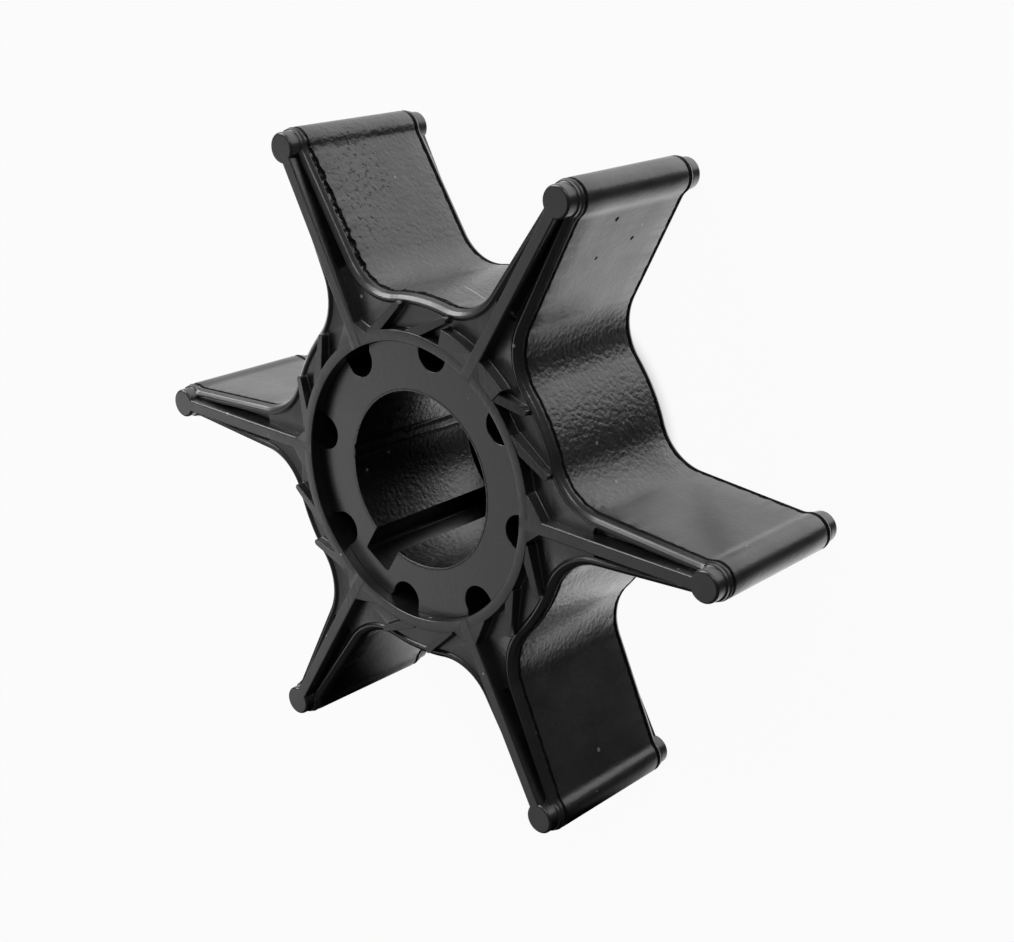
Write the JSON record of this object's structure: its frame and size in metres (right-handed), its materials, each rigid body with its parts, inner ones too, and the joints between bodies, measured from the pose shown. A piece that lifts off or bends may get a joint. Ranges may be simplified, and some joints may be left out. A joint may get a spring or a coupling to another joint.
{
  "type": "rubber pump impeller",
  "caption": "Flexible rubber impeller with radial vanes on a hub moulded round a keyed plastic insert, for a positive-displacement water pump.",
  "frame": {"origin": "on the shaft axis in the plane of the back end face, which is the base that the part rests on", "axes": "+Z along the shaft axis towards the front end face, the one seen in the picture; +X along one vane"},
  "size_m": [0.059, 0.0514, 0.0152],
  "materials": {
    "moulded_rubber": "moulded, slightly oily sheen",
    "bush_plastic": "satin, moulded"
  },
  "bodies": {
    "root": {"rubber_body": "moulded_rubber", "hub_insert": "bush_plastic"}
  },
  "joints": []
}
